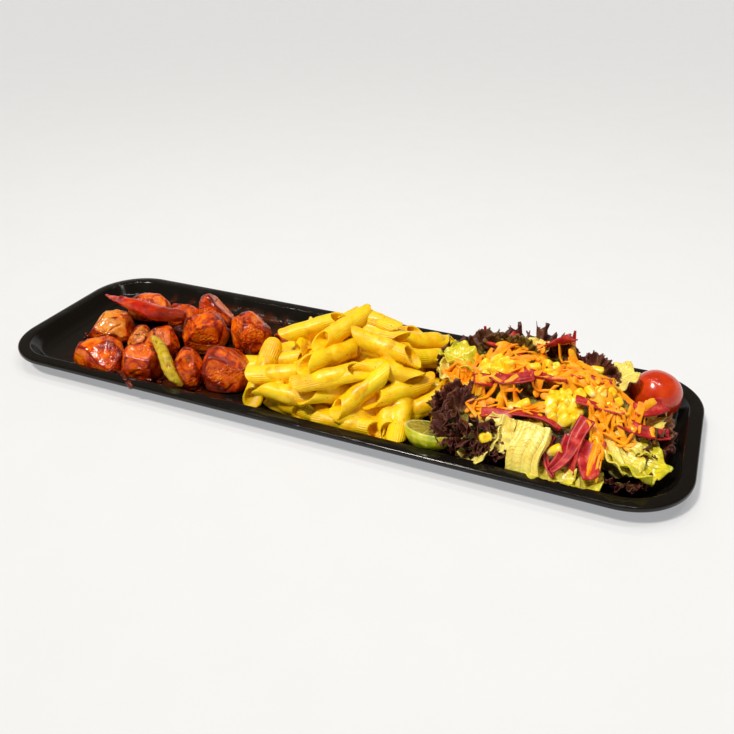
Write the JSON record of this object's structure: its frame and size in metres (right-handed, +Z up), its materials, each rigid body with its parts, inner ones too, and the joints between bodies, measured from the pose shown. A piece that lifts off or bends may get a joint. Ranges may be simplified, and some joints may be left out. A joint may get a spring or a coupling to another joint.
{
  "type": "meal tray",
  "caption": "Long black serving tray with rounded corners, holding glazed chicken pieces, penne in yellow cream sauce and a mixed salad with a cherry tomato and a lime wedge.",
  "frame": {"origin": "Middle of the tray's foot ring on the surface it stands on, which is the bottom centre of the whole part.", "axes": "+X runs along the tray from the chicken to the salad, +Y runs across it away from the diner, +Z is up."},
  "size_m": [0.44, 0.138, 0.0523],
  "materials": {
    "tray": "glossy black melamine",
    "chicken": "cooked meat under a thick shiny red-brown glaze",
    "chilli": "smooth glazed red skin",
    "pepper": "soft fried green pepper with glaze",
    "penne": "pasta under a satin yellow cream sauce",
    "salad": "fresh cut leaves, carrot, beetroot and sweetcorn",
    "tomato": "smooth shiny tomato skin",
    "lime": "waxy rind with moist cut flesh"
  },
  "bodies": {
    "root": {"tray": "tray", "chicken_01": "chicken", "chicken_02": "chicken", "chicken_03": "chicken", "chicken_04": "chicken", "chicken_05": "chicken", "chicken_06": "chicken", "chicken_07": "chicken", "chicken_08": "chicken", "chicken_09": "chicken", "chicken_10": "chicken", "chicken_11": "chicken", "chicken_12": "chicken", "chilli": "chilli", "green_pepper": "pepper", "penne_heap": "penne", "salad_heap": "salad", "cherry_tomato": "tomato", "lime_wedge": "lime"}
  },
  "joints": []
}
